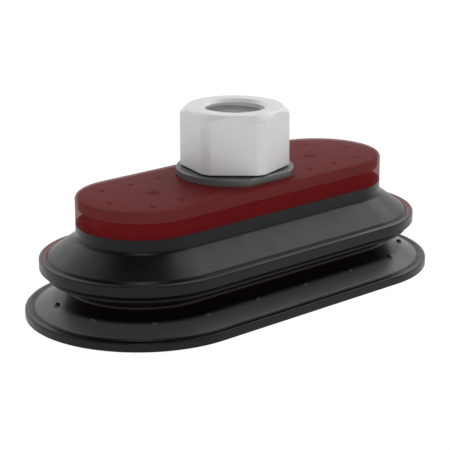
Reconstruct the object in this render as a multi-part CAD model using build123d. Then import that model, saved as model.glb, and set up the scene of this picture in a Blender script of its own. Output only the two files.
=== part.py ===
from build123d import *
import math
import os

# Oval bellows suction cup, 90 x 44 mm.  Origin at the middle of the sealing plane,
# +X along the long side, +Z up through the threaded fitting.  Millimetres.

# ---- plan: every outline is an offset of one straight centre line ----
CUP_LENGTH = 90.0
CUP_WIDTH = 44.0
LIP_R = CUP_WIDTH / 2
HALF_LINE = CUP_LENGTH / 2 - LIP_R

# ---- upper body, hard polyurethane round the insert ----
BODY_R = 12.35
BODY_BOTTOM = 17.3
BODY_TOP = 22.6
BODY_EDGE_R = 0.7
SKIRT_WALL = 2.0
SKIN_OVER_PLATE = 0.4
SKIN_UNDER_PLATE = 0.7

# ---- aluminium insert plate with its flatted collar ----
PLATE_T = 2.0
PLATE_SIDE_SKIN = 0.5
PLATE_R = BODY_R - PLATE_SIDE_SKIN
PLATE_TOP = BODY_TOP - SKIN_OVER_PLATE
PLATE_BOTTOM = PLATE_TOP - PLATE_T
COLLAR_R = 11.3
COLLAR_TOP = 23.95
COLLAR_CHAMFER = 0.2
COLLAR_FLATS = 20.2
PEG_HOLE_R = 0.65
LARGE_HOLE_R = 1.3
PEG_HOLE_Y = 7.3
PEG_HOLE_X = (13.0, 19.8, 26.6)
LARGE_HOLE_X = 20.4
END_HOLE_X = 30.7
AIR_MOUTH_R = 8.6

# ---- threaded hexagon fitting, G1/4 female ----
HEX_FLATS = 19.0
HEX_TURN = 46.0
HALF_CORNER = 30.0
HEX_TURNED_R = 10.45
HEX_BOTTOM = 24.25
HEX_TOP = 35.6
HEX_TOP_R = 9.2
THREAD_R = 11.445 / 2
THREAD_LENGTH = 11.0
MOUTH_CHAMFER = 0.6
AIRWAY_R = 4.4
STUD_R = 7.0
STUD_BOTTOM = 19.0
STUD_CHAMFER = 0.5
SCREW_GAP = 0.05
WASHER_R = 9.3

# ---- inlet filter in the foot of the stud ----
FILTER_SEAT_R = 5.4
FILTER_SEAT_DEPTH = 1.3
MESH_T = 0.3
MESH_HOLE_R = 0.3
MESH_PITCH = 0.85
CLIP_INNER_R = 4.6
CLIP_T = 0.7
FILTER_GAP = 0.05

# ---- flexible moulding: (offset from the centre line, height, corner radius) ----
OUTER_WALL = [
    (BODY_R, BODY_BOTTOM, 0),
    (BODY_R, 15.00, 1.3),
    (17.45, 11.35, 0.3),
    (17.90, 10.85, 0.15),
    (18.55, 11.20, 0.45),
    (19.20, 10.95, 0.3),
    (19.20, 9.05, 0.2),
    (18.85, 8.80, 0.1),
    (17.85, 7.95, 0.05),
    (17.95, 7.65, 0.1),
    (17.55, 7.40, 0.1),
    (13.30, 5.30, 0.5),
    (15.50, 4.05, 0),
    (20.25, 1.72, 0),
    (20.50, 1.45, 0.08),
    (21.10, 1.78, 0.6),
    (22.00, 1.58, 0.4),
    (22.00, 0.0, 0.08),
]
LIP_FACE = OUTER_WALL[12:14]
INNER_WALL = [
    (20.90, 0.0, 0.15),
    (20.20, 0.55, 0.3),
    (15.00, 2.35, 0),
    (11.80, 3.90, 0.5),
    (11.70, 5.40, 0.4),
    (16.60, 8.30, 0.3),
    (17.20, 9.00, 0.3),
    (16.60, 9.90, 0.3),
    (10.30, 14.45, 0.8),
    (10.30, BODY_BOTTOM, 0),
]

# ---- where the moulding is divided into stiff rings and flexing walls ----
NECK_Z = 15.2
FOLD_TOP_Z = 12.0
FOLD_BOTTOM_Z = 7.5
WAIST_TOP_Z = 5.5
WAIST_R = 14.2
ZONE_MARGIN = 1.0  # how far a zone's box reaches past the wall
RIM_INNER_R = 15.5

# ---- small bumps on the lip ----
NUB_LINE_R = 16.8
NUB_R = 0.6
NUB_PITCH = 12.3
NUB_FIRST_X = -22.2
NUBS_PER_SIDE = 4
NUB_LEFT_ANGLES = (19.0, 57.0)
NUB_RIGHT_ANGLES = (13.0, 51.0)

OVERSIZE = 100.0


def outline_face(corners):
    """Closed face from (offset, height, corner radius) points, in the local x-y plane."""
    face = make_face(Polyline(*[(r, z) for r, z, _ in corners], close=True))
    for r, z, radius in corners:
        if radius:
            corner = face.vertices().sort_by_distance(Vector(r, z, 0))[0]
            face = fillet(corner, radius)
    return face


def oval_sweep(face):
    """Carry an (offset, height) face once round the straight centre line."""
    half_turn = revolve(Plane.XZ * face, axis=Axis.Z, revolution_arc=180)
    right_end = Pos(HALF_LINE, 0, 0) * Rot(0, 0, -90) * half_turn
    left_end = Pos(-HALF_LINE, 0, 0) * Rot(0, 0, 90) * half_turn
    side = extrude(Plane.YZ.offset(-HALF_LINE) * face, amount=2 * HALF_LINE)
    return right_end + left_end + side + mirror(side, about=Plane.XZ)


def oval_block(radius, bottom, top):
    """Solid of the full oval outline between two heights."""
    outline = SlotCenterToCenter(2 * HALF_LINE, 2 * radius)
    return extrude(Pos(0, 0, bottom) * outline, amount=top - bottom)


def rod(radius, bottom, top, x=0.0, y=0.0):
    return extrude(Pos(x, y, bottom) * Circle(radius), amount=top - bottom)


def turned(points):
    """Solid of revolution about Z from (radius, height) points."""
    return revolve(Plane.XZ * make_face(Polyline(*points, close=True)), axis=Axis.Z)


def band(r_low, r_high, z_low, z_high):
    """Rectangle in the section plane, used to take one zone out of the wall."""
    return Pos((r_low + r_high) / 2, (z_low + z_high) / 2) * Rectangle(r_high - r_low, z_high - z_low)


def plate_hole_places():
    """Centres and radii of the bonding holes in the insert plate."""
    places = []
    for side in (-1, 1):
        places.append((side * LARGE_HOLE_X, 0.0, LARGE_HOLE_R))
        places.append((side * END_HOLE_X, 0.0, PEG_HOLE_R))
        for x in PEG_HOLE_X:
            places += [(side * x, y, PEG_HOLE_R) for y in (-PEG_HOLE_Y, PEG_HOLE_Y)]
    return places


def make_insert_plate():
    plate = oval_block(PLATE_R, PLATE_BOTTOM, PLATE_TOP)
    collar = rod(COLLAR_R, PLATE_TOP, COLLAR_TOP)
    flats = Pos(0, 0, (PLATE_TOP + COLLAR_TOP) / 2) * Box(OVERSIZE, COLLAR_FLATS, COLLAR_TOP - PLATE_TOP)
    collar = chamfer((collar & flats).faces().sort_by(Axis.Z)[-1].edges(), COLLAR_CHAMFER)
    insert = plate + collar
    insert -= rod(STUD_R + SCREW_GAP, PLATE_BOTTOM, COLLAR_TOP)
    for x, y, radius in plate_hole_places():
        insert -= rod(radius, PLATE_BOTTOM, PLATE_TOP, x, y)
    return insert


def make_upper_body(insert):
    outside = oval_block(BODY_R, BODY_BOTTOM, BODY_TOP)
    rim = outside.faces().sort_by(Axis.Z)[-1].edges()
    outside = fillet(rim, BODY_EDGE_R)
    skirt_space = oval_block(BODY_R - SKIRT_WALL, BODY_BOTTOM, PLATE_BOTTOM - SKIN_UNDER_PLATE)
    air_mouth = rod(AIR_MOUTH_R, BODY_BOTTOM, PLATE_BOTTOM)
    bore_way = rod(STUD_R + SCREW_GAP, PLATE_BOTTOM, BODY_TOP)
    return outside - skirt_space - air_mouth - bore_way - insert


def make_hex_fitting():
    prism = Rot(0, 0, HEX_TURN - HALF_CORNER) * extrude(
        Pos(0, 0, HEX_BOTTOM) * RegularPolygon(HEX_FLATS / 2, 6, major_radius=False),
        amount=HEX_TOP - HEX_BOTTOM,
    )
    envelope = turned([
        (0, HEX_BOTTOM),
        (HEX_TURNED_R, HEX_BOTTOM),
        (HEX_TURNED_R, HEX_TOP - (HEX_TURNED_R - HEX_TOP_R)),
        (HEX_TOP_R, HEX_TOP),
        (0, HEX_TOP),
    ])
    stud = rod(STUD_R, STUD_BOTTOM, HEX_BOTTOM)
    stud = chamfer(stud.faces().sort_by(Axis.Z)[0].edges(), STUD_CHAMFER)
    bore = turned([
        (0, STUD_BOTTOM),
        (FILTER_SEAT_R, STUD_BOTTOM),
        (FILTER_SEAT_R, STUD_BOTTOM + FILTER_SEAT_DEPTH),
        (AIRWAY_R, STUD_BOTTOM + FILTER_SEAT_DEPTH),
        (AIRWAY_R, HEX_TOP - THREAD_LENGTH - (THREAD_R - AIRWAY_R)),
        (THREAD_R, HEX_TOP - THREAD_LENGTH),
        (THREAD_R, HEX_TOP - MOUTH_CHAMFER),
        (THREAD_R + MOUTH_CHAMFER, HEX_TOP),
        (0, HEX_TOP),
    ])
    return (prism & envelope) + stud - bore


def make_sealing_washer():
    ring = rod(WASHER_R, COLLAR_TOP, HEX_BOTTOM)
    return ring - rod(STUD_R + SCREW_GAP, COLLAR_TOP, HEX_BOTTOM)


def make_filter_mesh():
    top = STUD_BOTTOM + FILTER_SEAT_DEPTH
    radius = FILTER_SEAT_R - FILTER_GAP
    disc = Circle(radius)
    reach = math.floor(radius / MESH_PITCH)
    for column in range(-reach, reach + 1):
        for row in range(-reach, reach + 1):
            place = Vector(column * MESH_PITCH, row * MESH_PITCH, 0)
            if place.length < CLIP_INNER_R - MESH_HOLE_R:
                disc -= Pos(place.X, place.Y) * Circle(MESH_HOLE_R)
    return extrude(Pos(0, 0, top - MESH_T) * disc, amount=MESH_T)


def make_filter_clip():
    top = STUD_BOTTOM + FILTER_SEAT_DEPTH - MESH_T
    ring = rod(FILTER_SEAT_R - FILTER_GAP, top - CLIP_T, top)
    return ring - rod(CLIP_INNER_R, top - CLIP_T, top)


def nub_places():
    """Plan positions of the bumps, the same on both long sides."""
    right_side = []
    for index in range(NUBS_PER_SIDE):
        right_side.append((NUB_FIRST_X + index * NUB_PITCH, NUB_LINE_R))
    for angle in NUB_LEFT_ANGLES:
        turn = math.radians(angle)
        right_side.append((-HALF_LINE - NUB_LINE_R * math.cos(turn), NUB_LINE_R * math.sin(turn)))
    for angle in NUB_RIGHT_ANGLES:
        turn = math.radians(angle)
        right_side.append((HALF_LINE + NUB_LINE_R * math.sin(turn), NUB_LINE_R * math.cos(turn)))
    left_side = [(x, -y) for x, y in right_side]
    return right_side + left_side + [(HALF_LINE + NUB_LINE_R, 0.0)]


def lip_height(offset):
    """Height of the lip's upper face at an offset from the centre line."""
    (r_in, z_in, _), (r_out, z_out, _) = LIP_FACE
    return z_in + (offset - r_in) * (z_out - z_in) / (r_out - r_in)


def make_moulding_zones():
    wall = outline_face(OUTER_WALL + INNER_WALL)
    far = LIP_R + ZONE_MARGIN
    low = -ZONE_MARGIN
    zones = {
        "neck_ring": wall & band(0, far, NECK_Z, BODY_BOTTOM + ZONE_MARGIN),
        "upper_bellows_wall": wall & band(0, far, FOLD_TOP_Z, NECK_Z),
        "fold_ring": wall & band(0, far, FOLD_BOTTOM_Z, FOLD_TOP_Z),
        "lower_bellows_wall": wall & band(0, far, WAIST_TOP_Z, FOLD_BOTTOM_Z),
        "waist_ring": wall & band(0, WAIST_R, low, WAIST_TOP_Z),
        "lip_web": wall & band(WAIST_R, RIM_INNER_R, low, WAIST_TOP_Z),
        "lip_rim": wall & band(RIM_INNER_R, far, low, WAIST_TOP_Z),
    }
    return {name: oval_sweep(zone) for name, zone in zones.items()}


def add_nubs(rim):
    height = lip_height(NUB_LINE_R)
    for x, y in nub_places():
        rim += Pos(x, y, height) * Sphere(NUB_R)
    return rim


insert_plate = make_insert_plate()
parts = {
    "hex_fitting": make_hex_fitting(),
    "sealing_washer": make_sealing_washer(),
    "insert_plate": insert_plate,
    "filter_mesh": make_filter_mesh(),
    "filter_clip": make_filter_clip(),
    "upper_body": make_upper_body(insert_plate),
}
parts.update(make_moulding_zones())
parts["lip_rim"] = add_nubs(parts["lip_rim"])

os.makedirs("parts", exist_ok=True)
for name, shape in parts.items():
    export_step(shape, f"parts/{name}.step")
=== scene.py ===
import math

import bmesh
import bpy
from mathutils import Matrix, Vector


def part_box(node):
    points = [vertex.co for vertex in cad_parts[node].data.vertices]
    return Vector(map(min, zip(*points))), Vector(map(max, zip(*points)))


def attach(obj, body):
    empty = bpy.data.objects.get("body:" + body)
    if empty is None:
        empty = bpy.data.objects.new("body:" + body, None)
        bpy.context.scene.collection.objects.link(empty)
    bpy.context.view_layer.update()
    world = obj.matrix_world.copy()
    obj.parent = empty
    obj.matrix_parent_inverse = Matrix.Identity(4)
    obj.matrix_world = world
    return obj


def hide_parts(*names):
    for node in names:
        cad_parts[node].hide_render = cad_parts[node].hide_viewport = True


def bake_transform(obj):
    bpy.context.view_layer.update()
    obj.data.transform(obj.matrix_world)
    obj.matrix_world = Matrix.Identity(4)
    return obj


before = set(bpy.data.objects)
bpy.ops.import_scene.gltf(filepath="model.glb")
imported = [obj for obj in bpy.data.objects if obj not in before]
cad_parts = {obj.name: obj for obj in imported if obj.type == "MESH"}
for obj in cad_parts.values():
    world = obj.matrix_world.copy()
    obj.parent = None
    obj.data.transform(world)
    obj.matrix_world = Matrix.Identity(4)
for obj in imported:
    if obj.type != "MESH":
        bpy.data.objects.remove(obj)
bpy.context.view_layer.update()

MM = 0.001

# ---------------------------------------------------------------- driving sizes, from the frame
rim_low, rim_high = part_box("lip_rim")
LIP_R = rim_high.y / MM                       # half width of the cup, mm
HALF_LINE = rim_high.x / MM - LIP_R           # half length of the straight centre line, mm
body_low, body_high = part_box("upper_body")
BODY_R = body_high.y / MM
BODY_BOTTOM = body_low.z / MM
BODY_TOP = body_high.z / MM
hex_low, hex_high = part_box("hex_fitting")
HEX_TOP = hex_high.z / MM
STUD_BOTTOM = hex_low.z / MM
washer_low, washer_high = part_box("sealing_washer")
WASHER_R = washer_high.y / MM
WASHER_BOTTOM = washer_low.z / MM
HEX_BOTTOM = washer_high.z / MM
plate_low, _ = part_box("insert_plate")
PLATE_BOTTOM = plate_low.z / MM
mesh_low, mesh_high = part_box("filter_mesh")
clip_low, clip_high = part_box("filter_clip")

# ---------------------------------------------------------------- the soft moulding's section, mm
# (offset from the centre line, height, corner radius), outside from top to bottom
OUTER_WALL = [
    (BODY_R, BODY_BOTTOM, 0),
    (BODY_R, 15.00, 1.3),
    (17.45, 11.35, 0.3),
    (17.90, 10.85, 0.15),
    (18.55, 11.20, 0.45),
    (19.20, 10.95, 0.3),
    (19.20, 9.05, 0.2),
    (18.85, 8.80, 0.1),
    (17.85, 7.95, 0.05),
    (17.95, 7.65, 0.1),
    (17.55, 7.40, 0.1),
    (13.30, 5.30, 0.5),
    (15.50, 4.05, 0),
    (20.25, 1.72, 0),
    (20.50, 1.45, 0.08),
    (21.10, 1.78, 0.6),
    (LIP_R, 1.58, 0.4),
    (LIP_R, 0.0, 0.08),
    (20.90, 0.0, 0),
]
LIP_FACE = OUTER_WALL[12:14]
# inside from bottom to top
INNER_WALL = [
    (20.90, 0.0, 0),
    (20.20, 0.55, 0.3),
    (15.00, 2.35, 0),
    (11.80, 3.90, 0.5),
    (11.70, 5.40, 0.4),
    (16.60, 8.30, 0.3),
    (17.20, 9.00, 0.3),
    (16.60, 9.90, 0.3),
    (10.30, 14.45, 0.8),
    (10.30, BODY_BOTTOM, 0),
]
FOLD_CUT = 7.95          # heights where the moulding is divided, at creases or out of sight
WAIST_CUT = 5.00
WALL_STEP = 0.30         # longest mesh step along the section
END_STEPS = 72           # divisions of each half-round end
SIDE_STEPS = 44          # divisions of each straight side


# ---------------------------------------------------------------- mesh helpers
def new_piece(name, mesh, material=None):
    piece = bpy.data.objects.new(name, mesh)
    bpy.context.scene.collection.objects.link(piece)
    if material:
        mesh.materials.append(material)
    return piece


def mesh_from(name, points, faces, smooth=True):
    """Mesh in metres from points in millimetres."""
    mesh = bpy.data.meshes.new(name)
    mesh.from_pydata([(x * MM, y * MM, z * MM) for x, y, z in points], [], faces)
    mesh.polygons.foreach_set("use_smooth", [smooth] * len(mesh.polygons))
    mesh.update()
    return mesh


def rounded(corners, steps=6):
    """Points of an open outline with each (a, b, radius) corner turned into an arc."""
    points = []
    for index, (a, b, radius) in enumerate(corners):
        here = Vector((a, b))
        if not radius or index in (0, len(corners) - 1):
            points.append(here)
            continue
        before = (Vector(corners[index - 1][:2]) - here).normalized()
        after = (Vector(corners[index + 1][:2]) - here).normalized()
        half = before.angle(after) / 2
        start = here + before * radius / math.tan(half)
        centre = here + (before + after).normalized() * radius / math.sin(half)
        first = start - centre
        turn_side = 1 if before.x * after.y - before.y * after.x < 0 else -1
        sweep = turn_side * (math.pi - 2 * half)
        for step in range(steps + 1):
            turn = sweep * step / steps
            cos, sin = math.cos(turn), math.sin(turn)
            points.append(centre + Vector((first.x * cos - first.y * sin, first.x * sin + first.y * cos)))
    return points


def resampled(points, longest):
    """The same line with no step over the longest one."""
    line = [points[0]]
    for before, after in zip(points, points[1:]):
        pieces = max(1, math.ceil((after - before).length / longest))
        line += [before.lerp(after, step / pieces) for step in range(1, pieces + 1)]
    return line


def line_normals(points):
    """Unit normals of an open line, to the left of its direction of travel."""
    normals = []
    for index in range(len(points)):
        before = points[max(index - 1, 0)]
        after = points[min(index + 1, len(points) - 1)]
        along = (after - before).normalized()
        normals.append(Vector((-along.y, along.x)))
    return normals


def oval_stations():
    """(centre x, direction x, direction y) round the straight centre line, counter-clockwise."""
    stations = []
    for side in (1, -1):
        for step in range(END_STEPS):
            turn = math.pi * step / END_STEPS - side * math.pi / 2
            stations.append((side * HALF_LINE, math.cos(turn), math.sin(turn)))
        for step in range(SIDE_STEPS):
            stations.append((side * HALF_LINE * (1 - 2 * step / SIDE_STEPS), 0.0, float(side)))
    return stations


def oval_point(station, offset, height):
    centre, dir_x, dir_y = station
    return (centre + offset * dir_x, offset * dir_y, height)


def cut_at(points, height):
    """Index and blend share where the line crosses a height for the first time."""
    for index in range(len(points) - 1):
        low, high = sorted((points[index].y, points[index + 1].y))
        if low <= height <= high and high > low:
            return index, (height - points[index].y) / (points[index + 1].y - points[index].y)
    raise ValueError("the wall does not cross that height")


def part_of(points, normals, top, bottom):
    """The stretch of a falling line between two heights, with its normals."""
    kept = []
    first, last = 0, len(points) - 1
    if top is not None:
        index, share = cut_at(points, top)
        kept.append((points[index].lerp(points[index + 1], share),
                     normals[index].lerp(normals[index + 1], share)))
        first = index + 1
    end = []
    if bottom is not None:
        index, share = cut_at(points, bottom)
        end.append((points[index].lerp(points[index + 1], share),
                    normals[index].lerp(normals[index + 1], share)))
        last = index
    kept += [(points[i], normals[i]) for i in range(first, last + 1)]
    kept += end
    clean = [kept[0]]
    for item in kept[1:]:
        if (item[0] - clean[-1][0]).length > 1e-4:
            clean.append(item)
    return clean


def moulding_zone(name, material, top=None, bottom=None):
    """One stretch of the wall between two heights, as a closed solid with seamless shading."""
    outer = resampled(rounded(OUTER_WALL), WALL_STEP)
    inner = resampled(rounded(INNER_WALL), WALL_STEP)[::-1]
    outside = part_of(outer, line_normals(outer), top, bottom)
    inside = part_of(inner, [-n for n in line_normals(inner)], top, bottom)
    if bottom is None:
        inside = inside[:-1]
    section = outside + inside[::-1]
    stations = oval_stations()
    rows = len(section)
    points = [oval_point(s, p.x, p.y) for s in stations for p, _ in section]
    faces, face_kind = [], []
    cap_rows = {rows - 1}
    if bottom is not None:
        cap_rows.add(len(outside) - 1)
    for column in range(len(stations)):
        following = (column + 1) % len(stations)
        for row in range(rows):
            below = (row + 1) % rows
            faces.append((column * rows + row, column * rows + below,
                          following * rows + below, following * rows + row))
            face_kind.append(row in cap_rows)
    mesh = mesh_from(name, points, faces)
    loop_normals = []
    for polygon, is_cap in zip(mesh.polygons, face_kind):
        for vertex in polygon.vertices:
            if is_cap:
                loop_normals.append(polygon.normal[:])
                continue
            _, dir_x, dir_y = stations[vertex // rows]
            across = section[vertex % rows][1].normalized()
            loop_normals.append((across.x * dir_x, across.x * dir_y, across.y))
    mesh.normals_split_custom_set(loop_normals)
    return new_piece(name, mesh, material)


def lathe(name, section, material, steps=128, sharp=None):
    """Closed (radius, height) section turned about Z."""
    rows = len(section)
    points = []
    for column in range(steps):
        turn = 2 * math.pi * column / steps
        points += [(r * math.cos(turn), r * math.sin(turn), z) for r, z in section]
    faces = grid_faces(steps, rows)
    mesh = mesh_from(name, points, faces)
    if sharp:
        mesh.set_sharp_from_angle(angle=math.radians(sharp))
    return new_piece(name, mesh, material)


def grid_faces(columns, rows):
    """Quads of a grid that closes on itself both ways."""
    faces = []
    for column in range(columns):
        following = (column + 1) % columns
        for row in range(rows):
            below = (row + 1) % rows
            faces.append((column * rows + row, column * rows + below,
                          following * rows + below, following * rows + row))
    return faces


def oval_solid(name, section, material):
    """Solid whose (offset, height) outline runs from its top centre line to its bottom centre line."""
    stations = oval_stations()
    rows = len(section)
    points = [oval_point(s, offset, height) for s in stations for offset, height in section]
    faces = []
    for column in range(len(stations)):
        following = (column + 1) % len(stations)
        for row in range(rows - 1):
            faces.append((column * rows + row, column * rows + row + 1,
                          following * rows + row + 1, following * rows + row))
    mesh = bpy.data.meshes.new(name)
    mesh.from_pydata([(x * MM, y * MM, z * MM) for x, y, z in points], [], faces)
    shape = bmesh.new()
    shape.from_mesh(mesh)
    bmesh.ops.remove_doubles(shape, verts=shape.verts, dist=1e-7)
    bmesh.ops.holes_fill(shape, edges=[e for e in shape.edges if e.is_boundary])
    bmesh.ops.recalc_face_normals(shape, faces=shape.faces)
    shape.to_mesh(mesh)
    shape.free()
    mesh.polygons.foreach_set("use_smooth", [True] * len(mesh.polygons))
    mesh.set_sharp_from_angle(angle=math.radians(35))
    return new_piece(name, mesh, material)


# ---------------------------------------------------------------- node helpers
class Graph:
    """A material and short ways to add nodes to it."""

    def __init__(self, name):
        self.material = bpy.data.materials.new(name)
        self.material.use_nodes = True
        self.nodes = self.material.node_tree.nodes
        self.links = self.material.node_tree.links
        self.shader = self.nodes["Principled BSDF"]

    def add(self, kind, **settings):
        node = self.nodes.new(kind)
        for key, value in settings.items():
            setattr(node, key, value)
        return node

    def link(self, source, target):
        self.links.new(source, target)

    def feed(self, value, socket):
        if isinstance(value, (int, float)):
            socket.default_value = value
        else:
            self.link(value, socket)

    def math(self, operation, first, second=0.0):
        node = self.add("ShaderNodeMath", operation=operation)
        self.feed(first, node.inputs[0])
        self.feed(second, node.inputs[1])
        return node.outputs[0]

    def place(self):
        return self.add("ShaderNodeTexCoord").outputs["Object"]

    def noise(self, scale, detail=3.0, roughness=0.5):
        node = self.add("ShaderNodeTexNoise")
        node.inputs["Scale"].default_value = scale
        node.inputs["Detail"].default_value = detail
        node.inputs["Roughness"].default_value = roughness
        self.link(self.place(), node.inputs["Vector"])
        return node.outputs["Fac"]

    def between(self, value, low, high, out_low=0.0, out_high=1.0):
        node = self.add("ShaderNodeMapRange", interpolation_type="SMOOTHSTEP")
        self.link(value, node.inputs["Value"])
        node.inputs["From Min"].default_value = low
        node.inputs["From Max"].default_value = high
        node.inputs["To Min"].default_value = out_low
        node.inputs["To Max"].default_value = out_high
        return node.outputs["Result"]

    def mix(self, factor, first, second):
        node = self.add("ShaderNodeMix", data_type="RGBA")
        self.feed(factor, node.inputs[0])
        for value, socket in ((first, node.inputs[6]), (second, node.inputs[7])):
            if isinstance(value, tuple):
                socket.default_value = (*value, 1.0)
            else:
                self.link(value, socket)
        return node.outputs[2]

    def bump(self, height, strength, distance):
        node = self.add("ShaderNodeBump")
        node.inputs["Strength"].default_value = strength
        node.inputs["Distance"].default_value = distance
        self.link(height, node.inputs["Height"])
        self.link(node.outputs["Normal"], self.shader.inputs["Normal"])

    def offset_and_height(self):
        """Distance from the cup's centre line and height, in millimetres."""
        split = self.add("ShaderNodeSeparateXYZ")
        self.link(self.place(), split.inputs[0])
        past = self.math("SUBTRACT", self.math("ABSOLUTE", split.outputs[0]), HALF_LINE * MM)
        past = self.math("MAXIMUM", past, 0.0)
        square = self.math("ADD", self.math("MULTIPLY", past, past),
                           self.math("MULTIPLY", split.outputs[1], split.outputs[1]))
        offset = self.math("DIVIDE", self.math("SQRT", square), MM)
        return offset, self.math("DIVIDE", split.outputs[2], MM)


def set_shader(graph, **values):
    for key, value in values.items():
        socket = graph.shader.inputs[key.replace("_", " ")]
        socket.default_value = (*value, 1.0) if isinstance(value, tuple) else value


# ---------------------------------------------------------------- materials
BLACK_DARK = (0.0024, 0.0024, 0.0025)
BLACK_LIGHT = (0.0034, 0.0033, 0.0033)
VALLEY_RED = (0.030, 0.002, 0.002)
LIP_BEAD_RED = (0.10, 0.008, 0.010)
# painted reflection of the red body, laid on the fold bead's inner flank
FOLD_BEAD_REFLECTED_RED = (0.24, 0.016, 0.020)
# painted light: the lip's upper face made lighter where the front light falls on it
LIP_FACE_PAINTED_LIGHT = (0.060, 0.058, 0.058)


def black_rubber():
    """One black moulding with a red-tinted waist and lip bead, a painted reflection of the red body on the fold
    bead, and painted light on the lip's upper face.
    """
    g = Graph("black_polyurethane")
    set_shader(g, IOR=1.30)
    offset, height = g.offset_and_height()
    # the fold bead's inner flank, where the red body's reflection is painted
    red_reflection_band = g.math("MULTIPLY", g.between(offset, 17.92, 18.10), g.between(offset, 18.50, 18.35))
    red_reflection_band = g.math("MULTIPLY", red_reflection_band, g.between(height, 10.6, 10.8))
    lip_bead = g.math("MULTIPLY", g.between(offset, 20.35, 20.45), g.between(offset, 21.0, 20.85))
    valley = g.math("MULTIPLY", g.between(offset, 16.4, 14.2), g.between(height, 7.0, 5.0))
    cloud = g.noise(900.0, 4.0)
    deep = g.mix(g.between(cloud, 0.3, 0.7), BLACK_DARK, BLACK_LIGHT)
    tinted = g.mix(g.math("MULTIPLY", valley, 0.15), deep, VALLEY_RED)
    tinted = g.mix(g.math("MULTIPLY", lip_bead, 0.5), tinted, LIP_BEAD_RED)
    tinted = g.mix(red_reflection_band, tinted, FOLD_BEAD_REFLECTED_RED)
    # painted light on the lip's upper face, lighter where the front light falls
    painted_light_lip_face = g.math("MULTIPLY", g.between(offset, 16.2, 17.4), g.between(height, 3.9, 3.3))
    painted_light_lip_face = g.math("MULTIPLY", painted_light_lip_face, g.between(offset, 20.3, 20.1))
    tinted = g.mix(painted_light_lip_face, tinted, LIP_FACE_PAINTED_LIGHT)
    g.link(tinted, g.shader.inputs["Base Color"])
    g.link(g.between(g.noise(350.0, 5.0), 0.25, 0.75, 0.30, 0.36), g.shader.inputs["Roughness"])
    g.bump(g.noise(5200.0, 3.0, 0.6), 0.08, 0.00002)
    return g.material


def red_polyurethane():
    g = Graph("red_polyurethane")
    set_shader(g, IOR=1.12, Specular_IOR_Level=0.05, Alpha=0.68)
    tone = g.between(g.noise(220.0, 4.0), 0.3, 0.7)
    g.link(g.mix(tone, (0.160, 0.0105, 0.0115), (0.175, 0.0115, 0.0125)), g.shader.inputs["Base Color"])
    g.link(g.between(g.noise(260.0, 4.0), 0.3, 0.7, 0.20, 0.28), g.shader.inputs["Roughness"])
    return g.material


def fitting_aluminium():
    g = Graph("fitting_aluminium")
    set_shader(g, Metallic=0.35, IOR=1.30)
    tone = g.between(g.noise(400.0, 5.0), 0.3, 0.7)
    g.link(g.mix(tone, (0.640, 0.642, 0.644), (0.655, 0.657, 0.659)), g.shader.inputs["Base Color"])
    g.link(g.between(g.noise(700.0, 4.0), 0.3, 0.7, 0.50, 0.56), g.shader.inputs["Roughness"])
    g.bump(g.noise(9000.0, 3.0, 0.6), 0.05, 0.00001)
    return g.material


def insert_aluminium():
    g = Graph("insert_aluminium")
    set_shader(g, Metallic=0.75, Roughness=0.45)
    g.link(g.mix(g.noise(1200.0, 4.0), (0.13, 0.13, 0.13), (0.15, 0.15, 0.15)), g.shader.inputs["Base Color"])
    g.bump(g.noise(6000.0, 3.0), 0.05, 0.00001)
    return g.material


def washer_rubber():
    g = Graph("washer_rubber")
    set_shader(g, Roughness=0.55)
    g.link(g.mix(g.noise(2500.0), (0.006, 0.006, 0.006), (0.012, 0.012, 0.012)), g.shader.inputs["Base Color"])
    g.bump(g.noise(7000.0), 0.15, 0.00002)
    return g.material


def plain_steel(name, tone):
    g = Graph(name)
    set_shader(g, Metallic=1.0, Roughness=0.32)
    darker = tuple(0.85 * c for c in tone)
    g.link(g.mix(g.noise(3000.0), darker, tone), g.shader.inputs["Base Color"])
    g.bump(g.noise(8000.0), 0.08, 0.00001)
    return g.material


def plain_floor():
    g = Graph("plain_floor")
    set_shader(g, Roughness=0.9, Base_Color=(0.10, 0.10, 0.10), Specular_IOR_Level=0.0,
               Emission_Color=(1.0, 1.0, 1.0), Emission_Strength=0.95)
    return g.material


# ---------------------------------------------------------------- threaded hexagon fitting
HEX_FLATS = 19.0
HEX_TURN = math.radians(46.0)
HEX_TURNED_R = 10.45
HEX_TOP_R = 9.2
EDGE_R = 0.12
CORNER_BLEND = 0.10
STUD_R = 7.0
STUD_CHAMFER = 0.5
THREAD_MINOR_R = 5.7225
THREAD_MAJOR_R = 6.579
THREAD_PITCH = 1.337
THREAD_LENGTH = 11.0
THREAD_ROW = 0.06
THREAD_FADE = 0.7
MOUTH_CHAMFER = 0.6
THREAD_START = 1.0
AIRWAY_R = 4.4
SEAT_R = 5.4
SEAT_DEPTH = 1.3
HEX_COLUMNS = 360


def hex_side_radius(turn):
    """Radius of the hexagon's side with its corners turned off, blended a little where they meet."""
    facet = (turn - HEX_TURN + math.pi / 6) % (math.pi / 3) - math.pi / 6
    flat = HEX_FLATS / 2 / math.cos(facet)
    blend = max(CORNER_BLEND - abs(flat - HEX_TURNED_R), 0.0) / CORNER_BLEND
    return min(flat, HEX_TURNED_R) - blend * blend * CORNER_BLEND / 4


def thread_radius(turn, height):
    """Wall radius of a G1/4 female thread: rounded triangular grooves along a right-hand helix."""
    depth_down = HEX_TOP - height
    phase = (depth_down / THREAD_PITCH + turn / (2 * math.pi)) % 1.0
    ramp = 1.0 - abs(2.0 * phase - 1.0)
    groove = min(max((ramp - 0.12) / 0.76, 0.0), 1.0)
    groove = groove + 0.10 * math.sin(2 * math.pi * groove) * -0.5
    fade = min(max((THREAD_LENGTH - depth_down) / THREAD_FADE, 0.0), 1.0)
    fade *= min(max((depth_down - THREAD_START) / THREAD_FADE, 0.0), 1.0)
    threaded = THREAD_MINOR_R + (THREAD_MAJOR_R - THREAD_MINOR_R) * groove * fade
    mouth = THREAD_MINOR_R + max(MOUTH_CHAMFER - depth_down, 0.0)
    return max(threaded, mouth)


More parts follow.
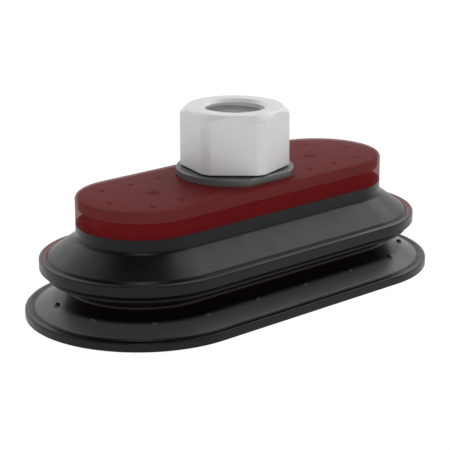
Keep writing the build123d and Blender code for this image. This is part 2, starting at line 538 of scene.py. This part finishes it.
def make_hex_fitting(material):
    bore_rows = int(THREAD_LENGTH / THREAD_ROW)
    relief = HEX_TOP - THREAD_LENGTH - (THREAD_MINOR_R - AIRWAY_R)
    seat = STUD_BOTTOM + SEAT_DEPTH
    below = [
        (THREAD_MINOR_R, HEX_TOP - THREAD_LENGTH),
        (AIRWAY_R, relief),
        (AIRWAY_R, seat),
        (SEAT_R, seat),
        (SEAT_R, STUD_BOTTOM),
        (STUD_R - STUD_CHAMFER, STUD_BOTTOM),
        (STUD_R, STUD_BOTTOM + STUD_CHAMFER),
        (STUD_R, HEX_BOTTOM),
    ]
    points = []
    for column in range(HEX_COLUMNS):
        turn = 2 * math.pi * column / HEX_COLUMNS
        side = hex_side_radius(turn)
        meridian = rounded([
            (STUD_R + 0.5, HEX_BOTTOM, 0),
            (side, HEX_BOTTOM, EDGE_R),
            (side, HEX_TOP - (side - HEX_TOP_R), EDGE_R),
            (HEX_TOP_R, HEX_TOP, EDGE_R),
            (THREAD_MINOR_R + MOUTH_CHAMFER + 0.25, HEX_TOP, 0),
            (THREAD_MINOR_R + MOUTH_CHAMFER + 0.05, HEX_TOP, 0),
        ], steps=4)
        rows = [(p.x, p.y) for p in meridian]
        for step in range(bore_rows):
            height = HEX_TOP - step * THREAD_ROW
            rows.append((thread_radius(turn, height), height))
        rows += below
        cos, sin = math.cos(turn), math.sin(turn)
        points += [(r * cos, r * sin, z) for r, z in rows]
    mesh = mesh_from("hex_fitting_body", points, grid_faces(HEX_COLUMNS, len(points) // HEX_COLUMNS))
    mesh.flip_normals()
    mesh.set_sharp_from_angle(angle=math.radians(38))
    return new_piece("hex_fitting_body", mesh, material)


# ---------------------------------------------------------------- the cup's pieces
SKIRT_WALL = 2.0
SKIN_UNDER_PLATE = 0.7
BODY_EDGE_R = 0.7
SKIRT_EDGE_R = 0.08
SKIRT_ROOT_R = 0.5


def make_upper_body(material):
    skirt_r = BODY_R - SKIRT_WALL
    roof = PLATE_BOTTOM - SKIN_UNDER_PLATE
    outline = [
        (0.0, BODY_TOP, 0),
        (BODY_R, BODY_TOP, BODY_EDGE_R),
        (BODY_R, BODY_BOTTOM, SKIRT_EDGE_R),
        (skirt_r, BODY_BOTTOM, SKIRT_EDGE_R),
        (skirt_r, roof, SKIRT_ROOT_R),
        (0.0, roof, 0),
    ]
    section = [(p.x, p.y) for p in rounded(outline, steps=8)]
    return oval_solid("upper_body_shell", section, material)


def make_washer(material):
    section = rounded([
        (STUD_R, WASHER_BOTTOM, 0),
        (WASHER_R, WASHER_BOTTOM, 0.12),
        (WASHER_R, HEX_BOTTOM, 0.12),
        (STUD_R, HEX_BOTTOM, 0),
    ])
    return lathe("sealing_washer_ring", [(p.x, p.y) for p in section], material, sharp=40)


NUB_LINE_R = 16.8
NUB_R = 0.60
NUB_PITCH = 12.3
NUB_FIRST_X = -22.2
NUBS_PER_SIDE = 4
NUB_LEFT_ANGLES = (19.0, 57.0)
NUB_RIGHT_ANGLES = (13.0, 51.0)
NUB_SINK = 0.15


def nub_places():
    """Plan positions of the bumps, the same on both long sides."""
    near = [(NUB_FIRST_X + index * NUB_PITCH, NUB_LINE_R) for index in range(NUBS_PER_SIDE)]
    for angle in NUB_LEFT_ANGLES:
        turn = math.radians(angle)
        near.append((-HALF_LINE - NUB_LINE_R * math.cos(turn), NUB_LINE_R * math.sin(turn)))
    for angle in NUB_RIGHT_ANGLES:
        turn = math.radians(angle)
        near.append((HALF_LINE + NUB_LINE_R * math.sin(turn), NUB_LINE_R * math.cos(turn)))
    return near + [(x, -y) for x, y in near] + [(HALF_LINE + NUB_LINE_R, 0.0)]


def lip_height(offset):
    """Height of the lip's upper face at an offset from the centre line."""
    (r_in, z_in, _), (r_out, z_out, _) = LIP_FACE
    return z_in + (offset - r_in) * (z_out - z_in) / (r_out - r_in)


def make_nubs(material):
    """Low domes sunk a little into the lip, joined into one piece."""
    columns, rings = 28, 9
    points, faces = [], []
    height = lip_height(NUB_LINE_R)
    for x, y in nub_places():
        base = len(points)
        for ring in range(rings):
            lift = math.pi / 2 * ring / rings
            radius = NUB_R * math.cos(lift)
            rise = NUB_R * math.sin(lift) - NUB_SINK
            for column in range(columns):
                turn = 2 * math.pi * column / columns
                points.append((x + radius * math.cos(turn), y + radius * math.sin(turn), height + rise))
        points.append((x, y, height + NUB_R - NUB_SINK))
        for ring in range(rings - 1):
            for column in range(columns):
                following = (column + 1) % columns
                faces.append((base + ring * columns + column, base + ring * columns + following,
                              base + (ring + 1) * columns + following, base + (ring + 1) * columns + column))
        last = base + (rings - 1) * columns
        for column in range(columns):
            faces.append((last + column, last + (column + 1) % columns, base + rings * columns))
        faces.append(tuple(base + column for column in reversed(range(columns))))
    return new_piece("lip_nubs", mesh_from("lip_nubs", points, faces), material)


# ---------------------------------------------------------------- inlet filter
WIRE_R = 0.075
WIRE_PITCH = 0.42


def make_filter_mesh(material):
    """Woven wire: each wire rises and falls over the ones that cross it."""
    radius = mesh_high.x / MM - WIRE_R
    middle = (mesh_low.z + mesh_high.z) / 2 / MM
    sides, points, faces = 6, [], []
    count = int(radius / WIRE_PITCH)
    for direction in (0, 1):
        for index in range(-count, count + 1):
            across = index * WIRE_PITCH
            reach = math.sqrt(max(radius * radius - across * across, 0.0))
            steps = max(2, int(8 * reach / WIRE_PITCH))
            base = len(points)
            for step in range(steps + 1):
                along = -reach + 2 * reach * step / steps
                side = 1 if (index + direction) % 2 == 0 else -1
                rise = side * WIRE_R * math.cos(math.pi * along / WIRE_PITCH)
                for corner in range(sides):
                    turn = 2 * math.pi * corner / sides
                    a = across + WIRE_R * math.cos(turn)
                    z = middle + rise + WIRE_R * math.sin(turn)
                    points.append((along, a, z) if direction == 0 else (a, along, z))
            for step in range(steps):
                for corner in range(sides):
                    following = (corner + 1) % sides
                    low, high = base + step * sides, base + (step + 1) * sides
                    quad = (low + corner, high + corner, high + following, low + following)
                    faces.append(quad if direction == 0 else quad[::-1])
            ends = (base, base + steps * sides)
            faces.append(tuple(ends[0] + c for c in range(sides))[::(1 if direction == 0 else -1)])
            faces.append(tuple(ends[1] + c for c in range(sides))[::(-1 if direction == 0 else 1)])
    return new_piece("filter_mesh_weave", mesh_from("filter_mesh_weave", points, faces), material)


CLIP_INNER_R = 4.6
CLIP_INNER_EDGE_R = 0.10
CLIP_OUTER_EDGE_R = 0.12


def make_filter_clip(material):
    bottom, top = clip_low.z / MM, clip_high.z / MM
    outer = clip_high.x / MM
    section = rounded([
        (CLIP_INNER_R, bottom, CLIP_INNER_EDGE_R),
        (outer, bottom, CLIP_OUTER_EDGE_R),
        (outer, top, CLIP_OUTER_EDGE_R),
        (CLIP_INNER_R, top, CLIP_INNER_EDGE_R),
        (CLIP_INNER_R, bottom + CLIP_INNER_EDGE_R, 0),
    ])
    return lathe("filter_clip_ring", [(p.x, p.y) for p in section], material, sharp=40)


# ---------------------------------------------------------------- assembly
rubber = black_rubber()
red = red_polyurethane()
silver = fitting_aluminium()
insert_metal = insert_aluminium()


def settle(piece, nodes, body=None):
    """Hide the parts a piece replaces, and hang it on a body's empty, or bake its placement when it has none."""
    if body:
        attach(piece, body)
    else:
        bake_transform(piece)
    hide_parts(*nodes)
    return piece


settle(make_hex_fitting(silver), ["hex_fitting"], body="root")
settle(make_washer(washer_rubber()), ["sealing_washer"], body="root")
settle(make_upper_body(red), ["upper_body"], body="root")
settle(make_filter_mesh(plain_steel("filter_steel", (0.55, 0.55, 0.54))), ["filter_mesh"],
       body="root")
settle(make_filter_clip(plain_steel("clip_steel", (0.42, 0.42, 0.43))), ["filter_clip"],
       body="root")
settle(moulding_zone("bellows_upper", rubber, bottom=FOLD_CUT),
       ["neck_ring", "upper_bellows_wall", "fold_ring"])
settle(moulding_zone("bellows_lower", rubber, top=FOLD_CUT, bottom=WAIST_CUT),
       ["lower_bellows_wall", "waist_ring"])
settle(moulding_zone("lip", rubber, top=WAIST_CUT),
       ["lip_web", "lip_rim"])
settle(make_nubs(rubber), ["lip_rim"], body="lip")

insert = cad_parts["insert_plate"]
insert.data.materials.clear()
insert.data.materials.append(insert_metal)


# ---------------------------------------------------------------- floor, light and camera
def add_floor():
    size = 3.0
    mesh = bpy.data.meshes.new("floor")
    mesh.from_pydata([(-size, -size, 0), (size, -size, 0), (size, size, 0), (-size, size, 0)], [], [(0, 1, 2, 3)])
    floor = new_piece("floor", mesh, plain_floor())
    floor.location.z = -0.00005


def add_softbox(name, toward, distance, size, power):
    """Square area light in a direction from the cup, facing it."""
    light = bpy.data.lights.new(name, "AREA")
    light.shape = "RECTANGLE"
    light.size, light.size_y = size
    light.energy = power
    lamp = bpy.data.objects.new(name, light)
    bpy.context.scene.collection.objects.link(lamp)
    direction = Vector(toward).normalized()
    lamp.location = direction * distance + Vector((0, 0, 0.02))
    lamp.rotation_euler = direction.to_track_quat("Z", "Y").to_euler()
    return lamp


def studio_world():
    world = bpy.data.worlds.new("studio")
    bpy.context.scene.world = world
    world.use_nodes = True
    nodes, links = world.node_tree.nodes, world.node_tree.links
    coordinates = nodes.new("ShaderNodeTexCoord")
    split = nodes.new("ShaderNodeSeparateXYZ")
    links.new(coordinates.outputs["Generated"], split.inputs[0])
    ramp = nodes.new("ShaderNodeMapRange")
    ramp.interpolation_type = "SMOOTHSTEP"
    links.new(split.outputs[2], ramp.inputs["Value"])
    ramp.inputs["From Min"].default_value = 0.25
    ramp.inputs["From Max"].default_value = 0.75
    ramp.inputs["To Min"].default_value = 1.0
    ramp.inputs["To Max"].default_value = 0.05
    links.new(ramp.outputs["Result"], nodes["Background"].inputs["Strength"])
    nodes["Background"].inputs["Color"].default_value = (1, 1, 1, 1)


CAMERA_AZIMUTH = math.radians(-42.744)
CAMERA_ELEVATION = math.radians(15.378)
CAMERA_DISTANCE = 0.310
CAMERA_TARGET = Vector((0.0, 0.0, 0.019))
CAMERA_LENS = 128.7
CAMERA_SHIFT = (-0.0216, -0.0788)


def add_camera():
    data = bpy.data.cameras.new("camera")
    data.lens = CAMERA_LENS
    data.sensor_width = 36.0
    data.shift_x, data.shift_y = CAMERA_SHIFT
    data.clip_start = 0.01
    camera = bpy.data.objects.new("camera", data)
    bpy.context.scene.collection.objects.link(camera)
    level = math.cos(CAMERA_ELEVATION)
    outward = Vector((level * math.sin(CAMERA_AZIMUTH), -level * math.cos(CAMERA_AZIMUTH),
                      math.sin(CAMERA_ELEVATION)))
    camera.location = CAMERA_TARGET + outward * CAMERA_DISTANCE
    camera.rotation_euler = outward.to_track_quat("Z", "Y").to_euler()
    bpy.context.scene.camera = camera


add_floor()
BOX_DISTANCE = 0.9
SOFTBOXES = {             # direction from the cup, side in metres, power in watts
    "right_box": ((0.655, 0.060, 0.740), 0.75, 5.0),
    "back_box": ((0.050, 0.708, 0.700), 0.80, 2.7),
    "front_box": ((-0.339, -0.368, 0.866), 0.30, 1.3),
}
for box_name, (box_toward, box_side, box_power) in SOFTBOXES.items():
    add_softbox(box_name, box_toward, BOX_DISTANCE, (box_side, box_side), box_power)
studio_world()
add_camera()
bpy.context.scene.view_settings.view_transform = "Standard"
